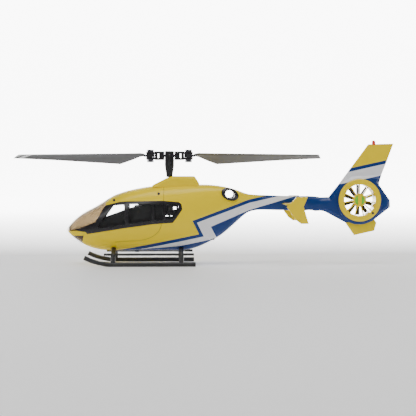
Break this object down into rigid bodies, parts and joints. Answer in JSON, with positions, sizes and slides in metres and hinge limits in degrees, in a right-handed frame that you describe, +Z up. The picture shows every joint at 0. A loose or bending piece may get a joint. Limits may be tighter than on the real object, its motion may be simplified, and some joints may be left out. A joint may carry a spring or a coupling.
{
  "type": "toy helicopter",
  "caption": "Palm-size radio-control model helicopter with a glazed cabin, skids, a two-blade main rotor that folds and tilts, and a shrouded tail fan.",
  "frame": {"origin": "under the mast axis, on the plane that the two skids rest on", "axes": "+X towards the nose, +Y to port, +Z up along the mast"},
  "size_m": [0.3045, 0.0612, 0.0997],
  "materials": {
    "body_yellow": "glossy moulded plastic, yellow with a blue and white livery",
    "trim_yellow": "glossy yellow plastic",
    "tinted_clear": "tinted clear plastic glazing",
    "side_clear": "clear plastic glazing",
    "black_gloss": "black satin plastic",
    "black_matte": "black matte plastic",
    "blade_grey": "dark grey matte flexible plastic",
    "steel": "bright steel",
    "brass": "brass",
    "white_plastic": "white plastic",
    "green_cap": "green plastic",
    "beacon_red": "translucent red plastic",
    "board_green": "green circuit board",
    "battery_foil": "dark foil sleeve"
  },
  "bodies": {
    "airframe": {"fuselage_left": "body_yellow", "fuselage_right": "body_yellow", "mast_cowling": "trim_yellow", "windshield": "tinted_clear", "chin_window": "tinted_clear", "side_window_frame_left": "black_gloss", "side_window_frame_right": "black_gloss", "side_glass_left": "side_clear", "side_glass_right": "side_clear", "exhaust_ring_left": "black_gloss", "exhaust_ring_right": "black_gloss", "shell_screws": "steel", "tail_duct_ring": "trim_yellow", "tail_duct_trim": "trim_yellow", "tail_motor": "steel", "tail_motor_cap": "green_cap", "tailplane": "trim_yellow", "endplate_left": "trim_yellow", "endplate_right": "trim_yellow", "lower_fin": "trim_yellow", "beacon_light": "beacon_red", "front_cross_tube": "black_matte", "rear_cross_tube": "black_matte", "skid_left": "black_matte", "skid_right": "black_matte", "step_bars": "black_matte", "skid_saddles": "black_matte", "chassis_frame": "black_matte", "mast_bearings": "steel", "main_motor": "steel", "control_board": "board_green", "receiver_cover": "black_matte", "elevator_servo": "black_matte", "aileron_servo": "black_matte"},
    "battery": {"battery_pack": "battery_foil", "battery_cap": "body_yellow"},
    "switch": {"power_switch": "black_matte"},
    "mast": {"main_shaft": "steel", "main_gear": "white_plastic", "shaft_collar": "steel", "rotor_hub": "black_gloss", "hub_screw": "steel"},
    "head": {"feathering_spindle": "steel", "blade_grip_front": "black_gloss", "blade_grip_rear": "black_gloss", "pitch_yoke": "black_gloss", "blade_bolts": "steel", "blade_nuts": "steel"},
    "blade_front": {"main_blade_front": "blade_grey"},
    "blade_rear": {"main_blade_rear": "blade_grey"},
    "ball": {"swash_ball": "brass"},
    "swash_fixed": {"swash_lower": "black_matte"},
    "swash_turning": {"swash_upper": "black_matte"},
    "elevator_slider": {"elevator_link": "black_matte"},
    "aileron_slider": {"aileron_link": "black_matte"},
    "link_left": {"pitch_link_left": "black_matte"},
    "link_right": {"pitch_link_right": "black_matte"},
    "motor_rotor": {"motor_pinion": "brass"},
    "tail_rotor": {"tail_fan": "black_matte", "tail_fan_shaft": "steel"}
  },
  "joints": [
    {"name": "main_rotor_spin", "type": "hinge", "parent": "airframe", "child": "mast", "pos_m": [0, 0, 0.0872], "axis": [0, 0, 1], "continuous": true},
    {"name": "head_feather", "type": "hinge", "parent": "mast", "child": "head", "pos_m": [0, 0, 0.0872], "axis": [1, 0, 0], "range_deg": [-6.2, 6.2]},
    {"name": "blade_front_lag", "type": "hinge", "parent": "head", "child": "blade_front", "pos_m": [0.0153, 0, 0.0872], "axis": [0, 0, 1], "range_deg": [-90, 90]},
    {"name": "blade_rear_lag", "type": "hinge", "parent": "head", "child": "blade_rear", "pos_m": [-0.0153, 0, 0.0872], "axis": [0, 0, 1], "range_deg": [-90, 90]},
    {"name": "swash_roll", "type": "hinge", "parent": "airframe", "child": "ball", "pos_m": [0, 0, 0.058], "axis": [1, 0, 0], "range_deg": [-6, 6]},
    {"name": "swash_pitch", "type": "hinge", "parent": "ball", "child": "swash_fixed", "pos_m": [0, 0, 0.058], "axis": [0, 1, 0], "range_deg": [-6, 6]},
    {"name": "swash_upper_spin", "type": "hinge", "parent": "swash_fixed", "child": "swash_turning", "pos_m": [0, 0, 0.058], "axis": [0, 0, 1], "continuous": true},
    {"name": "elevator_slide", "type": "slide", "parent": "airframe", "child": "elevator_slider", "axis": [0, 0, 1], "range_m": [-0.0009, 0.0009]},
    {"name": "aileron_slide", "type": "slide", "parent": "airframe", "child": "aileron_slider", "axis": [0, 0, 1], "range_m": [-0.0009, 0.0009]},
    {"name": "pitch_link_left_slide", "type": "slide", "parent": "mast", "child": "link_left", "axis": [0, 0, 1], "range_m": [-0.0006, 0.0006]},
    {"name": "pitch_link_right_slide", "type": "slide", "parent": "mast", "child": "link_right", "axis": [0, 0, 1], "range_m": [-0.0006, 0.0006]},
    {"name": "motor_spin", "type": "hinge", "parent": "airframe", "child": "motor_rotor", "pos_m": [0.0176, 0, 0.03], "axis": [0, 0, 1], "continuous": true},
    {"name": "tail_fan_spin", "type": "hinge", "parent": "airframe", "child": "tail_rotor", "pos_m": [-0.1529, 0, 0.0514], "axis": [0, 1, 0], "continuous": true},
    {"name": "battery_slide", "type": "slide", "parent": "airframe", "child": "battery", "axis": [-1, 0, 0], "range_m": [0, 0.05]},
    {"name": "power_switch_slide", "type": "slide", "parent": "airframe", "child": "switch", "axis": [1, 0, 0], "range_m": [-0.002, 0.002]}
  ],
  "couplings": [
    {"joint": "head_feather", "follows": "swash_roll", "ratio": 1},
    {"joint": "swash_upper_spin", "follows": "main_rotor_spin", "ratio": 1},
    {"joint": "motor_spin", "follows": "main_rotor_spin", "ratio": -6.6667},
    {"joint": "elevator_slide", "follows": "swash_pitch", "m_per_rad": -0.0081},
    {"joint": "aileron_slide", "follows": "swash_roll", "m_per_rad": 0.0081},
    {"joint": "pitch_link_left_slide", "follows": "swash_roll", "m_per_rad": 0.0053},
    {"joint": "pitch_link_right_slide", "follows": "swash_roll", "m_per_rad": -0.0053}
  ]
}
